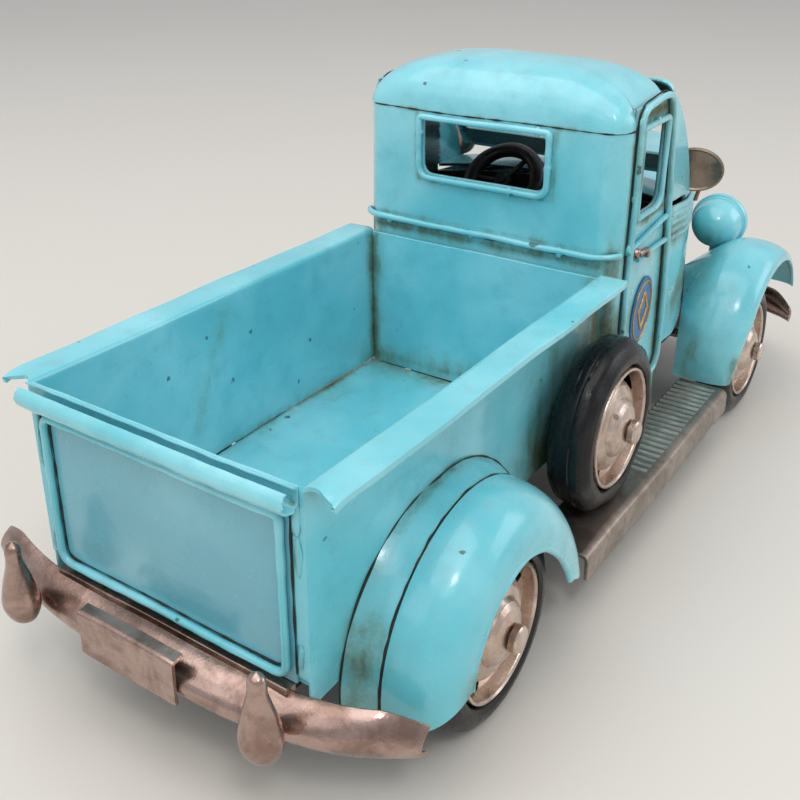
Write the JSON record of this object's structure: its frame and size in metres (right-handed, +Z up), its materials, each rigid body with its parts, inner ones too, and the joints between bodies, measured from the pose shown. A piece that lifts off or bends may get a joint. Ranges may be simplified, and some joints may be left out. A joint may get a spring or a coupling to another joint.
{
  "type": "toy pickup truck",
  "caption": "Handmade tin toy pickup truck with an open bed, domed cab, crowned fenders, running boards, rolling wheels and a side-mounted spare wheel.",
  "frame": {"origin": "on the ground under the middle of the truck", "axes": "+X forward along the truck, +Y to its left, +Z up"},
  "size_m": [0.3308, 0.1326, 0.1446],
  "materials": {
    "turquoise_paint": "glossy turquoise enamel with a brown antique wash in the corners",
    "champagne_metal": "satin champagne metallic paint, worn",
    "tyre_rubber": "slightly glossy black rubber",
    "mat_paint": "ribbed sheet, grey turquoise paint",
    "black_trim": "black trim",
    "seat_brown": "dark brown painted bench",
    "dark_iron": "dark underbody paint",
    "mirror_face": "brownish metallic disc with a dark rim"
  },
  "bodies": {
    "body": {"chassis_pan": "dark_iron", "rear_axle": "champagne_metal", "front_axle": "champagne_metal", "bed_floor": "turquoise_paint", "bed_side_left": "turquoise_paint", "bed_side_right": "turquoise_paint", "bed_front_wall": "turquoise_paint", "tailgate": "turquoise_paint", "tailgate_wire_frame": "turquoise_paint", "cab_back_panel": "turquoise_paint", "rear_window_wire": "turquoise_paint", "cab_belt_wire": "turquoise_paint", "cab_roof": "turquoise_paint", "cab_side_left": "turquoise_paint", "cab_side_right": "turquoise_paint", "door_outline_wire_left": "turquoise_paint", "door_outline_wire_right": "turquoise_paint", "door_window_wire_left": "turquoise_paint", "door_window_wire_right": "turquoise_paint", "door_handle_left": "champagne_metal", "door_handle_right": "champagne_metal", "cowl": "turquoise_paint", "windscreen_frame": "turquoise_paint", "dashboard": "black_trim", "cab_floor": "dark_iron", "bench_seat": "seat_brown", "steering_column": "black_trim", "hood_side_left": "turquoise_paint", "hood_side_right": "turquoise_paint", "hood_top": "turquoise_paint", "grille": "champagne_metal", "headlight_left": "turquoise_paint", "headlight_right": "turquoise_paint", "rear_fender_left": "turquoise_paint", "rear_fender_right": "turquoise_paint", "front_fender_left": "turquoise_paint", "front_fender_right": "turquoise_paint", "running_board_left": "champagne_metal", "running_board_right": "champagne_metal", "running_board_mat_left": "mat_paint", "running_board_mat_right": "mat_paint", "rear_bumper": "champagne_metal", "front_bumper": "champagne_metal", "bumperette_left": "champagne_metal", "bumperette_right": "champagne_metal", "licence_plate": "champagne_metal", "spare_pin": "champagne_metal", "mirror_left": "mirror_face", "mirror_right": "mirror_face"},
    "rear_wheel_left": {"rear_tyre_left": "tyre_rubber", "rear_wheel_left": "champagne_metal"},
    "rear_wheel_right": {"rear_tyre_right": "tyre_rubber", "rear_wheel_right": "champagne_metal"},
    "front_wheel_left": {"front_tyre_left": "tyre_rubber", "front_wheel_left": "champagne_metal"},
    "front_wheel_right": {"front_tyre_right": "tyre_rubber", "front_wheel_right": "champagne_metal"},
    "spare": {"spare_tyre": "tyre_rubber", "spare_wheel": "champagne_metal"},
    "steering": {"steering_wheel": "black_trim"}
  },
  "joints": [
    {"name": "rear_wheel_left_spin", "type": "hinge", "parent": "body", "child": "rear_wheel_left", "pos_m": [-0.1, 0.055, 0.0261], "axis": [0, 1, 0], "continuous": true},
    {"name": "rear_wheel_right_spin", "type": "hinge", "parent": "body", "child": "rear_wheel_right", "pos_m": [-0.1, -0.055, 0.0261], "axis": [0, 1, 0], "continuous": true},
    {"name": "front_wheel_left_spin", "type": "hinge", "parent": "body", "child": "front_wheel_left", "pos_m": [0.098, 0.055, 0.0261], "axis": [0, 1, 0], "continuous": true},
    {"name": "front_wheel_right_spin", "type": "hinge", "parent": "body", "child": "front_wheel_right", "pos_m": [0.098, -0.055, 0.0261], "axis": [0, 1, 0], "continuous": true},
    {"name": "spare_spin", "type": "hinge", "parent": "body", "child": "spare", "pos_m": [-0.026, -0.0525, 0.0476], "axis": [0, 1, 0], "continuous": true},
    {"name": "steering_turn", "type": "hinge", "parent": "body", "child": "steering", "pos_m": [0.0256, 0.011, 0.099], "axis": [-0.7431, 0, 0.6691], "continuous": true}
  ]
}
